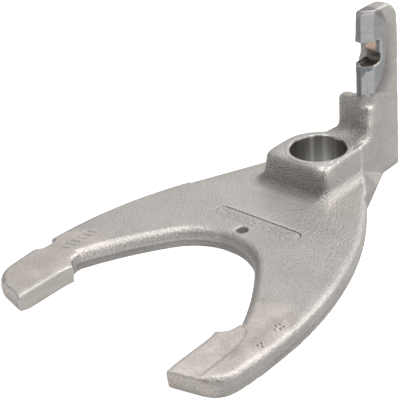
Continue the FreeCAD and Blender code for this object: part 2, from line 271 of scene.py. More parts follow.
# %% An even net
VOXEL = 0.42             # mm, fine enough for half a millimetre of rounding
remesh = fork.modifiers.new("even net", "REMESH")
remesh.mode = "VOXEL"
remesh.voxel_size = VOXEL
remesh.use_smooth_shade = True


def bake(thing):
    """Replaces an object's mesh by what its modifiers make of it."""
    graph = bpy.context.evaluated_depsgraph_get()
    made = bpy.data.meshes.new_from_object(thing.evaluated_get(graph), depsgraph=graph)
    thing.modifiers.clear()
    thing.data = made


bake(fork)
bpy.data.objects.remove(wedge)
print("remeshed faces", len(fork.data.polygons))

# %% [markdown]
# ## Helpers for points
# A mesh of this size is slow to change point by point in Python. Read as an
# array of numbers, all its points can be moved at once. Two small curves
# are used all the time below: a ramp, which rises smoothly from 0 to 1, and
# a band, which is 1 around a middle value and fades out beside it.

# %% Points as arrays
def vectors(items, name):
    """One row of three numbers for each vertex or face of a mesh."""
    flat = np.empty(len(items) * 3, np.float32)
    items.foreach_get(name, flat)
    return flat.reshape(-1, 3).astype(np.float64)


def edge_ends(mesh):
    """The two vertex numbers of each edge."""
    flat = np.empty(len(mesh.edges) * 2, np.int64)
    mesh.edges.foreach_get("vertices", flat)
    return flat.reshape(-1, 2)


def place_points(thing, points):
    """Puts an array of points back onto the mesh."""
    thing.data.vertices.foreach_set("co", points.astype(np.float32).ravel())
    thing.data.update()


rough = vectors(fork.data.vertices, "co")
ends = edge_ends(fork.data)
print("points", len(rough), "edges", len(ends))

# %% Averaging, ramps and bands
def average(points, ends, rounds, share):
    """Moves each point towards the mean of its neighbours, a few times."""
    a, b = ends[:, 0], ends[:, 1]
    count = np.maximum(np.bincount(ends.ravel(), minlength=len(points)), 1)
    points = points.copy()
    for _ in range(rounds):
        for axis in range(3):
            value = points[:, axis]
            total = np.bincount(a, value[b], len(points)) + np.bincount(b, value[a], len(points))
            points[:, axis] = value + share * (total / count - value)
    return points


def ramp(value, low, high):
    """0 below low, 1 above high and a smooth rise between."""
    t = np.clip((value - low) / (high - low), 0, 1)
    return t * t * (3 - 2 * t)


def band(value, middle, half, soft):
    """1 within half of the middle, 0 further off, with a soft border."""
    return 1 - ramp(np.abs(value - middle), half, half + soft)


print("a ramp from 0 to 10 is", [round(float(ramp(v, 0, 10)), 2) for v in (0, 2.5, 5, 7.5, 10)])

# %% [markdown]
# ## Sharp places and soft places
# A tool that cuts the forging leaves crisp edges behind: at the bore, the
# pads, the slot and the bevel. The die leaves wide ones, widest where the
# boss and the web meet the plate, because steel has to flow round there.
# These two functions give each point its share of both.

# %% Shares of crisp and melted
def crisp_share(p):
    """1 on the places a tool has cut after forging, 0 on the forged skin."""
    x, y, z = p.T
    bore = 1 - ramp(np.abs(np.hypot(x, y) - BORE), 0.8, 1.6)
    pads = band(x, 113, 8, 3) * (1 - ramp(np.abs(y), PAD + 0.5, PAD + 1.2)) * (1 - ramp(z, 4.5, 5.5))
    slot = ramp(z, 46, 48) * (1 - ramp(z, 61, 63)) * (x < 0)
    bevel = band(x + y, FRONT + FACE - BEVEL, 0.8, 1.0) * ramp(z, 36, 37)
    return np.clip(bore + pads + slot + bevel, 0, 1)


def melted_share(p):
    """1 where the forging is widely rounded: the boss, the web and their feet."""
    x, y, z = p.T
    boss = ramp(x, -15.4, -13.6) * (1 - ramp(y, 11.6, 12.7)) * ramp(np.hypot(x, y), 12.3, 13.8)
    web = ramp(x, -22, -20) * (1 - ramp(x, -12, -10)) * (1 - ramp(y, 5.0, 6.4)) * ramp(z, 17, 20)
    edge = (1 - ramp(np.hypot(x - FRONT, y - FACE), 3, 5)) * ramp(z, 18, 21) * (1 - ramp(z, 31, 33))
    ends_of_arms = ramp(x, TIP - 7, TIP - 3) * (1 - ramp(z, 2.0, 4.5))
    return np.clip(boss * (x < 32) * (z > 5.0) + web * 0.6 + edge * 0.9 + ends_of_arms * 0.35, 0, 1)


print("crisp points", int((crisp_share(rough) > 0.5).sum()))
print("melted points", int((melted_share(rough) > 0.5).sum()))

# %% [markdown]
# Two places are changed before the averaging. The pads' milled tops are cut
# later, with a softer border, so here they are brought level with the
# plate. The slot's lower face leans: it stands higher towards the bore.

# %% Level the pads' tops and lean the slot's floor
x, y, z = rough.T
on_pad_top = (np.abs(z - PAD_TOP) < 0.06) & (x > 91) & (np.abs(y) > PAD + 0.7)
rough[on_pad_top, 2] = PLATE
shelf = (np.abs(z - SLOT_FLOOR) < 0.4) & (x > -23.4) & (x < -15.8) & (y > 6.2)
rough[:, 2] += 1.3 * shelf * (1 - ramp(y, 6.9, 8.8))
print("levelled", int(on_pad_top.sum()), "points and leaned", int(shelf.sum()))

# %% [markdown]
# Averaging moves each point towards the middle of its neighbours, and so
# melts edges. A few rounds only take the sharpness off, and many rounds
# make a wide rounding. Four grades are made of the same points, and each
# point then picks its mix of them by where it is.

# %% Four grades of rounding, mixed by place
crisp = average(rough, ends, 2, 0.4)
soft = average(crisp, ends, 7, 0.5)
softer = average(soft, ends, 14, 0.5)
melted = average(softer, ends, 75, 0.5)
x, y, z = rough.T
outer_ends = (ramp(x, TIP - 5, TIP - 2) + ramp(z, 66, 69) * 0.7)[:, None]
points = soft + (softer - soft) * np.clip(outer_ends, 0, 1)
points = points + (melted - points) * melted_share(rough)[:, None]
points = points + (crisp - points) * crisp_share(rough)[:, None]
print("largest move mm", round(float(np.abs(points - rough).max()), 2))

# %% [markdown]
# ## Truing up
# Averaging also nibbles at flats and at the bore. A machined bore is a true
# cylinder and its ends are true planes, so those points go back to where
# the tool left them.

# %% Back to the true bore and planes
def snap(values, target, reach):
    """Pulls values that lie within reach of a target onto it."""
    near = np.abs(values - target) < reach
    return np.where(near, target, values)


x, y, z = points.T.copy()
radius = np.hypot(x, y)
in_bore = (np.abs(radius - BORE) < 0.3) & (z > 0.8) & (z < BOSS_TOP - 0.8)
pull = np.where(in_bore, BORE / np.maximum(radius, 1), 1)
points[:, 0] = x * pull
points[:, 1] = y * pull
points[:, 2] = snap(snap(z, PLATE, 0.03), 0, 0.03)
place_points(fork, points)
print("true bore points", int(in_bore.sum()))

# %% [markdown]
# The two halves of a forging die meet at half the plate's thickness. A
# little steel is squeezed out between them, and after trimming a fine ridge
# is left all round the walls. Here the points of the walls move out along
# their normals near that height, and a hair inwards above and below it.

# %% The ridge where the die's halves met
normals = vectors(fork.data.vertices, "normal")
upright = 1 - ramp(np.abs(normals[:, 2]), 0.3, 0.7)
wall = upright * (1 - crisp_share(points)) * (radius > 13)
ridge = 0.14 * np.exp(-((z - PARTING) / 0.4) ** 2) * wall * (x < TIP - 3)
inward = 0.08 * band(z, PARTING, 4.5, 0.4) * wall
points[:, :2] += normals[:, :2] * (ridge - inward)[:, None]
print("ridge points", int((ridge > 0.05).sum()))

# %% [markdown]
# ## Fine marks
# The die leaves a long oval panel with a fine groove round it and small
# raised pips inside, and a few pips and strokes on the arms. A hardness
# test leaves one round dimple, and the die's ejector a faint ring. Each
# mark is a height above or below the plate, worked out from the distance to
# a line or a point, so it needs no drawing of its own. A pip is a place, a
# radius and a rise, and a stroke is its two ends.

# %% Places of the marks in mm
PANEL = (41.6, 2.4, 16.5, 2.75)      # centre, half of the straight part, radius of the groove line
DIMPLE = (48.6, 1.2, 2.5, 0.6)       # centre, radius, depth
RING = (53.2, 15.5, 2.4)             # centre, radius
PIPS = [(41.6 + 0.5 * (-1) ** k, 2.4 + 2.1 * k, 0.75, 0.20) for k in range(-7, 8)]
on_near_arm = [(86.4, 48.6), (87.9, 48.2), (86.6, 50.3), (88.3, 50.2), (89.6, 49.2),
               (97.6, 50.0), (99.0, 49.7), (98.6, 51.3)]
PIPS += [(x, y, 0.8, 0.42) for x, y in on_near_arm]
STROKES = [(94.6 - 2.6 * k, -46.4, 93.6 - 2.6 * k, -42.8) for k in range(6)]
print("marks:", len(PIPS), "pips and", len(STROKES), "strokes")

# %% Distances from the marks
def segment_distance(x, y, x0, y0, x1, y1):
    """Distance from a straight line between two points."""
    dx, dy = x1 - x0, y1 - y0
    t = np.clip(((x - x0) * dx + (y - y0) * dy) / (dx * dx + dy * dy), 0, 1)
    return np.hypot(x - x0 - t * dx, y - y0 - t * dy)


def panel_distance(x, y):
    """Distance from the oval line of the panel."""
    core = segment_distance(x, y, PANEL[0], PANEL[1] - PANEL[2], PANEL[0], PANEL[1] + PANEL[2])
    return np.abs(core - PANEL[3])


def ring_distance(x, y):
    """Distance from the ejector's ring."""
    return np.abs(np.hypot(x - RING[0], y - RING[1]) - RING[2])


def near_mark(x, y, margin=0.3):
    """True where the plate is within a margin of a mark."""
    near = panel_distance(x, y) < 0.5 + margin
    near |= np.hypot(x - DIMPLE[0], y - DIMPLE[1]) < DIMPLE[2] + margin
    near |= ring_distance(x, y) < 0.5 + margin
    for px, py, size, rise in PIPS:
        near |= np.hypot(x - px, y - py) < size + margin
    for line in STROKES:
        near |= segment_distance(x, y, *line) < 0.5 + margin
    return near


print("points near a mark", int(near_mark(points[:, 0], points[:, 1]).sum()))

# %% Height of the marks
def mark_height(x, y):
    """How far the top of the plate is raised or sunk by the marks, in mm."""
    sharp = 0.12 + 0.30 * (1 - ramp(x, PANEL[0] - 1, PANEL[0] + 2.5))
    height = -sharp * (1 - ramp(panel_distance(x, y), 0.1, 0.42))
    dimple = np.hypot(x - DIMPLE[0], y - DIMPLE[1]) / DIMPLE[2]
    height -= DIMPLE[3] * np.sqrt(np.clip(1 - dimple ** 2, 0, 1))
    height -= 0.05 * (1 - ramp(ring_distance(x, y), 0.1, 0.5))
    for px, py, size, rise in PIPS:
        height += rise * (1 - ramp(np.hypot(x - px, y - py), 0.2 * size, size))
    for line in STROKES:
        height -= 0.2 * (1 - ramp(segment_distance(x, y, *line), 0.1, 0.5))
    return height


sample = mark_height(np.array([DIMPLE[0]]), np.array([DIMPLE[1]]))
print("depth of the dimple mm", round(-float(sample[0]), 2))

# %% [markdown]
# The marks are cut in three moves. First the plate is made flat under them,
# because the rounding of the opening runs up to the dimple. In the same
# move a milling cutter's step is cut into the top of each pad: the
# cutter's path ends on a curve, which is given by a few of its points.

# %% Flatten the plate under the marks and mill the pads
STEP_X = (93.0, 93.8, 95.1, 99.2, 104.6, 111.0, 126.0)
STEP_Y = (34.0, 38.5, 41.7, 43.7, 44.8, 44.9, 44.9)


def past_step(x, y):
    """How far a place is outside the line where a pad's milled top ends."""
    return np.abs(y) - np.interp(x, STEP_X, STEP_Y)


x, y, z = points.T.copy()
level_top = (z > 6.2) & (z < PLATE + 0.05) & (normals[:, 2] > 0.4)
marked = level_top & (x < 51.2) & (x > 36) & near_mark(x, y, 1.0)
points[marked, 2] = PLATE
milled = (1 - ramp(past_step(x, y), -0.3, 0.3)) * (x > 92.5) * ramp(normals[:, 2], 0.8, 0.97)
points[:, 2] -= np.where(y > 0, 0.14, 0.05) * milled * level_top
place_points(fork, points)
print("flattened", int(marked.sum()), "points, milled", int((milled * level_top > 0.5).sum()))

# %% [markdown]
# Then the net is thinned out where the surface is flat, and kept where it
# curves. How far a point moves when it is averaged says how curved the
# surface is there. The flat points go into a vertex group, and the decimate
# modifier takes faces from that group first.

# %% Fewer faces where it is flat
KEEP_ABOUT = 125000      # triangles
blurred = average(points, ends, 8, 0.5)
normals = vectors(fork.data.vertices, "normal")
bulge = np.abs(((blurred - points) * normals).sum(1))
curved = (bulge > 0.003) | (level_top & near_mark(x, y, 2.0))
spread = average(np.repeat(curved[:, None].astype(float), 3, 1), ends, 5, 0.6)[:, 0]
flat = spread < 0.01
group = fork.vertex_groups.new(name="flat")
group.add(np.nonzero(flat)[0].tolist(), 0.9, "ADD")
thin = fork.modifiers.new("fewer faces", "DECIMATE")
thin.ratio = min(1.0, KEEP_ABOUT / (2 * len(fork.data.polygons)))
thin.vertex_group = "flat"
thin.vertex_group_factor = 1.0
before = len(fork.data.polygons)
bake(fork)
print("flat points", int(flat.sum()), "of", len(points), "faces", before, "to", len(fork.data.polygons))

# %% [markdown]
# Last, the faces near a mark are split until they are fine enough for it,
# and the height of the marks is added. Splitting only these keeps the rest
# of the mesh light.

# %% Finer faces near the marks
def refine(thing, wanted, rounds, longest):
    """Splits the top faces whose centre passes the test, a few times over."""
    net = bmesh.new()
    net.from_mesh(thing.data)
    for _ in range(rounds):
        flats = [f for f in net.faces if f.normal.z > 0.95 and abs(f.calc_center_median().z - PLATE) < 0.2]
        centres = np.array([f.calc_center_median()[:2] for f in flats])
        chosen = wanted(centres[:, 0], centres[:, 1])
        edges = {e for f, take in zip(flats, chosen) if take for e in f.edges if e.calc_length() > longest}
        bmesh.ops.subdivide_edges(net, edges=list(edges), cuts=1, use_grid_fill=True)
        bmesh.ops.triangulate(net, faces=[f for f in net.faces if len(f.verts) > 3])
    net.to_mesh(thing.data)
    net.free()


refine(fork, near_mark, 2, 0.26)
fork.data.validate()
print("faces after splitting", len(fork.data.polygons))

# %% The marks themselves
points = vectors(fork.data.vertices, "co")
top = (np.abs(points[:, 2] - PLATE) < 0.2) & (points[:, 0] > 30)
points[top, 2] += mark_height(points[top, 0], points[top, 1])
place_points(fork, points)
print("deepest mark mm", round(PLATE - float(points[top, 2].min()), 2))

# %% Down to the number of faces a piece may have
MOST_FACES = 192000
limit = fork.modifiers.new("within the limit", "DECIMATE")
limit.ratio = min(1.0, MOST_FACES / len(fork.data.polygons))
bake(fork)
fork.data.validate()
points = vectors(fork.data.vertices, "co")
print("faces in the end", len(fork.data.polygons))

# %% [markdown]
# ## Telling the finishes apart
# One forging shows many finishes that run into each other: worn edges,
# pressed ends, heat, and beside them painted highlights and painted shade.
# The material needs to know where it is. So for each finish a number from
# 0 to 1 is stored per point of the mesh, worked out from the point's place,
# and an Attribute node reads it.
# First come the things that all of them use. The bulge says how far a
# point stands out of its surroundings, and is negative in a hollow.

# %% Where each point is and how it is shaped
def store(name, values):
    """Keeps one number per point on the mesh, for the material to read."""
    layer = fork.data.attributes.new(name, "FLOAT", "POINT")
    layer.data.foreach_set("value", np.asarray(values, np.float32))


ends = edge_ends(fork.data)
x, y, z = points.T
normals = vectors(fork.data.vertices, "normal")
across_x, across_y, up = normals.T
blurred = average(points, ends, 10, 0.5)
bulge = ((points - blurred) * normals).sum(1)
near_boss = (1 - ramp(x, 26, 30)) * (1 - ramp(z, 34, 37)) * (1 - ramp(y, 11.8, 12.8)) * (z > 6)
bevel_side = x + y > -8
on_front_edge = (x < FRONT + 1) * bevel_side * (y > 8.8)
print("points that bulge", int((bulge > 0.06).sum()))

# %% [markdown]
# Edges get rubbed bright in handling and tumbling. Three more places get a
# painted highlight as bright, without being bulges: the slot's lip, the top
# of the ground bevel, and the low fold where the finger's broad face turns
# into the plate.

# %% Worn edges and painted highlights
inside_lip = np.hypot(np.minimum(x + 22.4, 0), z - 51.6) - 2.0
from_lip = np.where(x > -22.4, np.abs(z - SLOT_FLOOR), np.where(z < 53, np.abs(inside_lip), 9))
lip_highlight = (1 - ramp(from_lip, 0.15, 0.6)) * (x < FRONT + 0.4) * (x > -25) * (y > 8.6)
bevel_top_highlight = ramp(z, 69.6, 70.6) * (x > FRONT - 4) * bevel_side
fold = segment_distance(x, y, -10.4, 12.9, -6.7, 16.5) + (z > BOSS_TOP - 0.2) * 9
fold = np.minimum(fold, segment_distance(x, y, -6.7, 16.5, 12.4, 30.8))
fold_highlight = (1 - ramp(fold, 0.2, 0.9)) * (z > 6.6) * 0.7
# Rubbed edges are real wear; the lip, the bevel's top and the fold are painted highlights.
store("edge_wear_and_highlight", np.maximum(ramp(bulge, 0.03, 0.2), np.maximum(lip_highlight, bevel_top_highlight) * 1.5) + fold_highlight)
print("points on the lip", int((lip_highlight > 0.5).sum()))

# %% [markdown]
# Painted highlights: the inner corners at the boss's foot, strongest on the
# near side that faces the lamps, a few soft round spots, a band on the far
# arm's inner rounding and the end faces of the arms. Each spot has a centre
# in mm, a size and a strength.

# %% Painted highlights on corners
# Each of these spots is a painted highlight.
HIGHLIGHT_SPOTS = [((12.7, 12.2, 18.7), 3.0, 1.3), ((17.0, 17.5, 7.6), 3.2, 0.6), ((-14.6, 12.4, 22.0), 3.2, 0.9),
         ((-16.4, 10.2, 32.8), 1.9, 0.8), ((-18.4, 12.3, 32.4), 1.9, 0.9), ((-15.6, 12.4, 27.0), 3.6, 1.0),
         ((-13.5, 3.0, 20.6), 3.6, 0.7)]
painted_glints = [most * np.exp(-((points - spot) ** 2).sum(1) / size ** 2) for spot, size, most in HIGHLIGHT_SPOTS]
# The hollows, the far rim and the arms' end faces are painted highlights too.
hollow_highlight = ramp(-bulge, 0.003, 0.05) * near_boss * (0.3 + 0.7 * ramp(across_y, 0.05, 0.35))
far_rim_highlight = band(across_y, 0.55, 0.35, 0.15) * (y < -4) * (x > 50) * (x < 98) * (z > 3)
end_face_highlight = 0.4 * ramp(across_x, 0.5, 0.9) * (x > TIP - 8)
store("painted_highlight", np.max([hollow_highlight, *painted_glints, 0.35 * far_rim_highlight, end_face_highlight], axis=0))
print("points that glitter", int((hollow_highlight > 0.5).sum()), "in hollows,", len(HIGHLIGHT_SPOTS), "spots")

# %% [markdown]
# Painted shade darkens the front of the boss's foot, the low wall below the
# web, the far arm's low inner wall and the top edge of the far pad. The top
# of the finger is made darker too.

# %% Painted shade
# The first four masks are painted shade; the last darkens the finger's top.
foot_shade = near_boss * ramp(across_x, 0.02, 0.3) * (1 - ramp(z, 9.5, 13)) * (x > 5)
low_wall_shade = 0.8 * (x < 6) * ramp(x, -14, -11) * (1 - ramp(z, 6.3, 7.0)) * ramp(across_y, 0.2, 0.5)
far_wall_shade = (y < -15) * (x < 96) * ramp(across_y, 0.8, 0.95) * 0.6 * (1 - ramp(z, 2.5, 4))
pad_edge_shade = 0.5 * band(across_y, 0.5, 0.35, 0.1) * (y < -30) * (x > 98) * (z > 5)
darker_finger_top = 0.4 * ramp(z, 69.5, 71) * (x < 0)
store("shade", np.clip(foot_shade + low_wall_shade + far_wall_shade + pad_edge_shade + darker_finger_top, 0, 1))
print("dull points", int((foot_shade > 0.5).sum()))

# %% [markdown]
# The skin is coarser on the boss's steep sides, and in a small scar below
# the slot where the grinder missed a hollow. The scar's border slants.

# %% Coarse skin
scar_slant = 3.4 * (y - 9.2) / BEVEL
scar = on_front_edge * ramp(z, 44.6 + scar_slant, 45.6 + scar_slant) * (z < SLOT_FLOOR - 0.3)
store("coarse", np.maximum((1 - ramp(np.abs(up), 0.6, 0.95)) * near_boss, scar))
print("points in the scar", int((scar > 0.5).sum()))

# %% [markdown]
# The arms' ends are coined: pressed flat and true between two hard plates.
# That smooths the skin and warms its colour. The zone starts on a curve, as
# the plates' edge is round, and a faint stain follows that border.

# %% Coined ends
past_border = x - 75.3 - 0.065 * (np.abs(y) - 41.5) ** 2
on_top = np.maximum(ramp(up, 0.75, 0.98), ramp(x, TIP - 7, TIP - 4) * 0.8)
coined = ramp(past_border, 0.5, 6) * on_top
store("coined", coined * np.where(y > 0, 1, 0.75))
store("fine", np.max([coined, 0.6 * ramp(x, 40, 65), 0.5 * ramp(z, 24, 30)], axis=0))
border_stain = band(past_border, 1.5, 0.5, 3.0) * 0.6 * on_top * (y > 0)
smudge_line = segment_distance(x, y, 86, 46.0, 107, 47.0)
store("stain", np.maximum(border_stain, np.exp(-(smudge_line / 2.2) ** 2) * (z > 6.5)))
print("coined points", int((coined > 0.5).sum()))

# %% [markdown]
# The slot's surroundings were hardened by heat. It spread out in an oval,
# and left a bluish grey patch with a thin, dark temper line round it.

# %% Heat round the slot
heat = np.hypot((x + 16) / 13.4, (z - 54.5) / 18)
finger = (x < FRONT + 3) * ramp(z, 36, 39) * (y > 6.4)
store("heated", finger * (1 - ramp(heat, 0.86, 0.98)))
store("temper_line", finger * band(heat, 1.0, 0.03, 0.10))
print("heated points", int((finger * (heat < 0.9) > 0.5).sum()))

# %% [markdown]
# Painted shade darkens what is sunk: the dimple, the panel's groove and a
# ring round each pip. The strokes, the scar and a line along the die's
# ridge are darker too. The milled step shows as a thin line of painted
# shade.

# %% Painted shade in the marks, and dark marks
# The dimple, the groove and the rings round the pips are painted shade.
dimple = 1 - ramp(np.hypot(x - DIMPLE[0], y - DIMPLE[1]), DIMPLE[2] - 0.6, DIMPLE[2] + 0.1)
groove_shade = (1 - ramp(panel_distance(x, y), 0.1, 0.5)) * (0.15 + 0.55 * (1 - ramp(x, 41, 44)))
pip_ring_shade = [0.18 * band(np.hypot(x - px, y - py), size * 0.8, 0.1, 0.35) for px, py, size, rise in PIPS]
from_stroke = np.min([segment_distance(x, y, *line) for line in STROKES], axis=0)
in_strokes = 0.4 * (1 - ramp(from_stroke, 0.15, 0.6))
marks_and_shade = np.max([dimple, groove_shade, in_strokes, *pip_ring_shade], axis=0) * (z > 6) * (x > 0)
sides = (1 - ramp(np.abs(up), 0.3, 0.7)) * (x > 20) * (x < 98)
joint = 0.3 * np.exp(-((z - 2.5) / 0.5) ** 2) * sides
store("marks_and_recess_shade", np.max([marks_and_shade, 0.15 * scar, joint], axis=0))
# The milled step's line is painted shade, fainter on the far arm.
step_shade_line = band(past_step(x, y), 0.1, 0.1, 0.5) * (z > 6) * (x > 94)
store("step_shade", step_shade_line * np.where(y > 0, 1, 0.25))
print("grimy points", int((marks_and_shade > 0.4).sum()))

# %% [markdown]
# Some finishes have a sharp border, because a tool made them. Those get a
# material of their own, face by face: the reamed bore, the milled pads, the
# ground bevel of the finger, its front edge and the slot. The number of a
# face is its material's place in the object's list, and 0 is the forged
# skin.

# %% A material number for each face
centres = vectors(fork.data.polygons, "center")
facing_x, facing_y, facing_z = vectors(fork.data.polygons, "normal").T
cx, cy, cz = centres.T
on_bore = (np.abs(np.hypot(cx, cy) - BORE) < 0.9) & (facing_z < 0.9) & (facing_z > -0.9)
on_pad = (np.abs(cy) < PAD + 0.4) & (np.abs(facing_y) > 0.6) & (cx > 100.5)
in_slot = (cz > SLOT_FLOOR - 0.3) & (cz < 59.3) & (cx < FRONT - 0.5) & (cx > FRONT - 8.6)
in_slot &= (np.abs(facing_y) < 0.75) & (cy > 6.5) & ~((cy > 10.6) & (cz > 53.2))
on_bevel = (facing_x > 0.5) & (facing_y > 0.5) & (cz > 38) & (cx < FRONT + 0.3) & ~in_slot
scar_border = 45.0 + 3.4 * (cy - 9.2) / BEVEL
on_bevel &= (cz < scar_border) | (cz > SLOT_FLOOR - 0.3)
# The front edge gets the darker copy of the ground steel, which is painted shade.
on_front = (facing_x > 0.86) & (cz > 37) & (cy > 6) & (cx < FRONT + 0.6) & ~in_slot & (cx > FRONT - 1)
number = np.zeros(len(centres), np.int32)
for kind, chosen in enumerate((on_bore, on_pad, on_bevel, on_front, in_slot), 1):
    number[chosen] = kind
print("faces of each finish", np.bincount(number, minlength=6).tolist())

# %% [markdown]
# The piece goes back to metres here. It is tied to the frame: it takes the
# place of the CAD node and moves with the root body.

# %% Back to metres and into the frame
place_points(fork, points * MM)
fork.data.polygons.foreach_set("use_smooth", [True] * len(fork.data.polygons))
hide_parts("shift_fork")
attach(fork, "root")
print("piece", fork.name, "replaces shift_fork")

# %% [markdown]
# ## Forged steel, shot-blasted
# After forging, steel shot is thrown at the part to knock off the scale. It
# leaves a fine, even, silvery grain of tiny dimples. The real ones are about
# a quarter of a millimetre wide, which is finer than the picture shows, so
# they are drawn two or three times as coarse. It is bare metal, so it is
# fully metallic with the default IOR, and its roughness is middling because
# the dimples scatter the light. To the eye that is a soft grey that still
# turns light and dark with each face's direction.

# %% Patterns of the blasted skin
PER_MM = 1 / MM          # pattern repeats per metre for one repeat per millimetre
material, tree = new_material("forged_steel_shot_blasted")
fork.data.materials.append(material)
spot_on_fork = add(tree, "TexCoord").outputs["Object"]
grit = add(tree, "TexNoise", Vector=spot_on_fork, Scale=1.5 * PER_MM, Detail=3.0, Roughness=0.7)
pock = add(tree, "TexVoronoi", {"feature": "F1"}, Vector=spot_on_fork, Scale=1.5 * PER_MM)
cloud = add(tree, "TexNoise", Vector=spot_on_fork, Scale=0.045 * PER_MM, Detail=4.0, Roughness=0.6)
smear = add(tree, "TexNoise", Vector=spot_on_fork, Scale=0.12 * PER_MM, Detail=3.0, Roughness=0.5)
print("grain", round(1 / 1.5, 2), "mm, clouds", round(1 / 0.045), "mm, smears", round(1 / 0.12), "mm")

# %% [markdown]
# The skin's grey drifts slowly between two close tones. The coined ends have
# a warmer pair. All the other finishes, painted highlights and painted shade
# among them, are laid over that, each by its own number on the mesh, times
# the most that it may cover. The painted highlights are broken up by the
# grit first, so that they glitter.

# %% Tones laid over each other
FINISHES = ("edge_wear_and_highlight", "painted_highlight", "coarse", "coined", "heated", "temper_line", "marks_and_recess_shade", "step_shade",
            "shade", "stain", "fine")
finish = {name: add(tree, "Attribute", {"attribute_name": name}).outputs["Fac"] for name in FINISHES}
drift = add(tree, "MapRange", Value=cloud.outputs["Fac"], From_Min=0.35, From_Max=0.68)
skin = add(tree, "Mix", {"data_type": "RGBA"}, Factor=drift.outputs["Result"],
           A=steel_tone("a6a29e"), B=steel_tone("b2aeaa"))
smudge = add(tree, "MapRange", Value=smear.outputs["Fac"], From_Min=0.4, From_Max=0.65)
pressed = add(tree, "Mix", {"data_type": "RGBA"}, Factor=smudge.outputs["Result"],
              A=steel_tone("b2aba5"), B=steel_tone("c1bab4"))
flecks = add(tree, "MapRange", Value=grit.outputs["Fac"], From_Min=0.42, From_Max=0.58, To_Min=0.55)
painted_glitter = add(tree, "Math", {"operation": "MULTIPLY"}, i0=finish["painted_highlight"], i1=flecks.outputs["Result"])
# 3c3a39 is dark marks plus painted shade in recesses; 6e6864 and 7b7674 are painted shade.
# efe7e1 is painted highlight; d8d6d3 is worn edges plus painted highlights;
layers = [
    (finish["coined"], pressed.outputs["Result"], 1.0),
    (finish["heated"], steel_tone("8e9093"), 0.9),
    (finish["temper_line"], steel_tone("665e62"), 0.75),
    (painted_glitter.outputs[0], steel_tone("efe7e1"), 0.8),
    (finish["edge_wear_and_highlight"], steel_tone("d8d6d3"), 0.4),
    (finish["marks_and_recess_shade"], steel_tone("3c3a39"), 0.8),
    (finish["step_shade"], steel_tone("6e6864"), 0.25),
    (finish["stain"], steel_tone("8f857d"), 0.45),
    (finish["shade"], steel_tone("7b7674"), 0.55),
]
colour = skin.outputs["Result"]
for share, over, most in layers:
    amount = add(tree, "Math", {"operation": "MULTIPLY"}, i0=share, i1=most)
    laid = add(tree, "Mix", {"data_type": "RGBA"}, Factor=amount.outputs[0], A=colour, B=over)
    colour = laid.outputs["Result"]
print("layers of tone", len(layers))

# %% [markdown]
# The grain shows twice: as a speckle in the colour, stronger where the skin
# is coarse, and as a bump a quarter of a millimetre high, weaker where it
# is fine. The bump adds the noise's grit to the round pocks of a cell
# pattern, because shot leaves both.

# %% Speckle, bump and shine
BUMP_HEIGHT = 0.26 * MM
spark = add(tree, "MapRange", Value=finish["coarse"], To_Min=0.15, To_Max=0.30)
low = add(tree, "Math", {"operation": "SUBTRACT"}, i0=1.0, i1=spark.outputs["Result"])
high = add(tree, "Math", {"operation": "ADD"}, i0=1.0, i1=spark.outputs["Result"])
speck = add(tree, "MapRange", Value=grit.outputs["Fac"], From_Min=0.32, From_Max=0.68,
            To_Min=low.outputs[0], To_Max=high.outputs[0])
base = add(tree, "VectorMath", {"operation": "SCALE"}, i0=colour, Scale=speck.outputs["Result"])
gloss = add(tree, "MapRange", Value=finish["coined"], To_Min=0.50, To_Max=0.54)
grain = add(tree, "MapRange", Value=finish["fine"], To_Min=0.95, To_Max=0.3)
relief = add(tree, "Math", {"operation": "SUBTRACT"}, i0=grit.outputs["Fac"], i1=pock.outputs["Distance"])
bump = add(tree, "Bump", Strength=grain.outputs["Result"], Distance=BUMP_HEIGHT, Height=relief.outputs[0])
shader = add(tree, "BsdfPrincipled", Base_Color=base.outputs[0], Metallic=1.0,
             Roughness=gloss.outputs["Result"], Normal=bump.outputs[0])
add(tree, "OutputMaterial", Surface=shader.outputs[0])
print("material", material.name, "nodes", len(tree.nodes))

# %% [markdown]
# ## Places cut by a tool
# Every tool leaves its own fine lines. A reamer turns in the bore, so its
# lines run round it. A milling cutter and a grinding wheel leave straight
# ones. Each of these finishes is a noise that is stretched along the lines:
# the scale is high across them and low along them. They are smoother than
# the forged skin and so shine more, the reamed bore most of all.

# %% Tooled steel in four finishes
def tooled(name, pale, deep, roughness, repeats, depth):
    """Steel with tool lines: two tones, repeats per mm along X, Y and Z, and depth in mm."""
    material, tree = new_material(name)
    fork.data.materials.append(material)
    spot = add(tree, "TexCoord").outputs["Object"]
    scaled = add(tree, "VectorMath", {"operation": "MULTIPLY"}, i0=spot, i1=[r * PER_MM for r in repeats])
    lines = add(tree, "TexNoise", Vector=scaled.outputs[0], Scale=1.0, Detail=3.0, Roughness=0.6)
    share = add(tree, "MapRange", Value=lines.outputs["Fac"], From_Min=0.35, From_Max=0.65)
    # Worn edges plus the painted highlights of the slot's lip and the bevel's top.
    wear_and_highlight = add(tree, "Attribute", {"attribute_name": "edge_wear_and_highlight"}).outputs["Fac"]
    plain = add(tree, "Mix", {"data_type": "RGBA"}, Factor=share.outputs["Result"],
                A=steel_tone(deep), B=steel_tone(pale))
    part_wear_and_highlight = add(tree, "Math", {"operation": "MULTIPLY"}, i0=wear_and_highlight, i1=0.3)
    base = add(tree, "Mix", {"data_type": "RGBA"}, Factor=part_wear_and_highlight.outputs[0], A=plain.outputs["Result"],
               B=steel_tone("d8d6d3"))
    bump = add(tree, "Bump", Strength=1.0, Distance=depth * MM, Height=lines.outputs["Fac"])
    shader = add(tree, "BsdfPrincipled", Base_Color=base.outputs["Result"], Metallic=1.0,
                 Roughness=roughness, Normal=bump.outputs[0])
    add(tree, "OutputMaterial", Surface=shader.outputs[0])
    return tree, shader


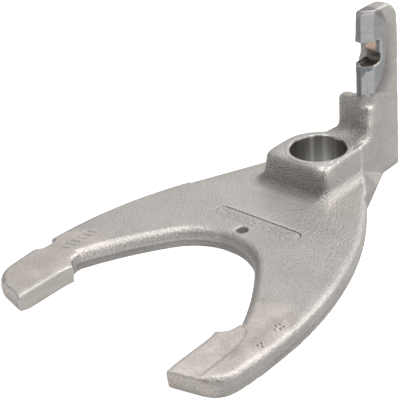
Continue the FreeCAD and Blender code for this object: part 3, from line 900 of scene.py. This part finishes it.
bore_tree, bore_shader = tooled("reamed_steel", "ffffff", "d0cecc", 0.3, (0.45, 0.45, 0.02), 0.01)
tooled("milled_steel", "bfbab6", "b3aea8", 0.45, (0.12, 0.6, 0.35), 0.02)
tooled("ground_steel", "b5b5b6", "a6a7a9", 0.38, (0.1, 0.1, 0.7), 0.01)
# A darker copy of the ground steel: painted shade for the finger's front edge.
tooled("ground_steel_painted_shade", "8a8889", "7b797a", 0.42, (0.1, 0.1, 0.7), 0.01)
print("finishes", [m.name for m in fork.data.materials])

# %% [markdown]
# The bore's wall is a curved mirror. Its light and dark strips are painted
# reflections: the tone is laid round the wall by the angle about the bore's
# axis, and the angle runs through a colour ramp with a bright stop for each
# strip. The tone multiplies the steel's own, so the lines still show.

# %% Painted reflection strips along the bore
# Each bright stop is a painted reflection.
PAINTED_REFLECTIONS = [(0.0, "b4b2b0"), (0.02, "a8a6a4"), (0.045, "c4c2c0"), (0.066, "ffffff"), (0.084, "c0bebc"),
          (0.112, "c4c2c0"), (0.137, "ffffff"), (0.155, "c8c6c4"), (0.185, "a8a6a4"), (0.24, "b8b6b4"),
          (0.30, "e8e6e4"), (0.40, "b0aeac"), (1.0, "b4b2b0")]


def fill_ramp(node, stops):
    """Gives a colour ramp its stops, each a place and a tone. The first is at 0, the last at 1."""
    elements = node.color_ramp.elements
    elements[0].color = steel_tone(stops[0][1])
    elements[1].color = steel_tone(stops[-1][1])
    for at, tone in stops[1:-1]:
        elements.new(at).color = steel_tone(tone)


lined = bore_shader.inputs["Base Color"].links[0].from_socket
on_wall = add(bore_tree, "SeparateXYZ", Vector=add(bore_tree, "TexCoord").outputs["Object"])
angle = add(bore_tree, "Math", {"operation": "ARCTAN2"}, i0=on_wall.outputs["Y"], i1=on_wall.outputs["X"])
turned = add(bore_tree, "MapRange", Value=angle.outputs[0], From_Min=-math.pi, From_Max=math.pi)
reflection_strips = add(bore_tree, "ValToRGB", Fac=turned.outputs["Result"])
fill_ramp(reflection_strips, PAINTED_REFLECTIONS)
toned = add(bore_tree, "Mix", {"data_type": "RGBA", "blend_type": "MULTIPLY"}, Factor=1.0,
            A=reflection_strips.outputs["Color"], B=lined)
bore_tree.links.new(toned.outputs["Result"], bore_shader.inputs["Base Color"])
print("stops round the bore", len(PAINTED_REFLECTIONS))

# %% [markdown]
# The reamer's lines also stretch the shine. A brushed metal spreads light
# across its lines, and Blender calls that anisotropic. The tangent says
# which way the lines run: here round the Z axis.

# %% Shine stretched by the reamer's lines
round_axis = add(bore_tree, "Tangent", {"direction_type": "RADIAL", "axis": "Z"})
bore_tree.links.new(round_axis.outputs[0], bore_shader.inputs["Tangent"])
bore_shader.inputs["Anisotropic"].default_value = 0.8
bore_shader.inputs["Anisotropic Rotation"].default_value = 0.25
print("reamed steel nodes", len(bore_tree.nodes))

# %% [markdown]
# The slot was hardened by a flame or a coil, and the heat left straw and
# brown on its walls. These are colours of a thin oxide film, so the steel
# below stays metal and only its tint changes with height. The dark lower
# part of the ramp is painted shade of the slot's low inner corner.

# %% Heat-tinted slot, with painted shade low down
SLOT_TOP = 59.0
material, tree = new_material("heat_tint_and_painted_shade")
fork.data.materials.append(material)
in_film = add(tree, "TexCoord").outputs["Object"]
height = add(tree, "SeparateXYZ", Vector=in_film).outputs["Z"]
rise = add(tree, "MapRange", Value=height, From_Min=SLOT_FLOOR * MM, From_Max=SLOT_TOP * MM)
tint_and_shade = add(tree, "ValToRGB", Fac=rise.outputs["Result"])
# The two dark stops low in the slot are painted shade; the pale ones above are heat tint.
fill_ramp(tint_and_shade, [(0.0, "706a64"), (0.40, "67625a"), (0.52, "cdb3a2"), (1.0, "d8bfae")])
grain = add(tree, "TexNoise", Vector=in_film, Scale=1.5 * PER_MM, Detail=2.0)
bump = add(tree, "Bump", Strength=0.5, Distance=0.05 * MM, Height=grain.outputs["Fac"])
shader = add(tree, "BsdfPrincipled", Base_Color=tint_and_shade.outputs["Color"], Metallic=1.0, Roughness=0.4,
             Normal=bump.outputs[0])
add(tree, "OutputMaterial", Surface=shader.outputs[0])
print("material", material.name)

# %% [markdown]
# Now that all six materials are in the object's list, each face is given
# its number.

# %% Hand out the materials
fork.data.polygons.foreach_set("material_index", number)
fork.data.update()
print("finishes", [m.name for m in fork.data.materials])
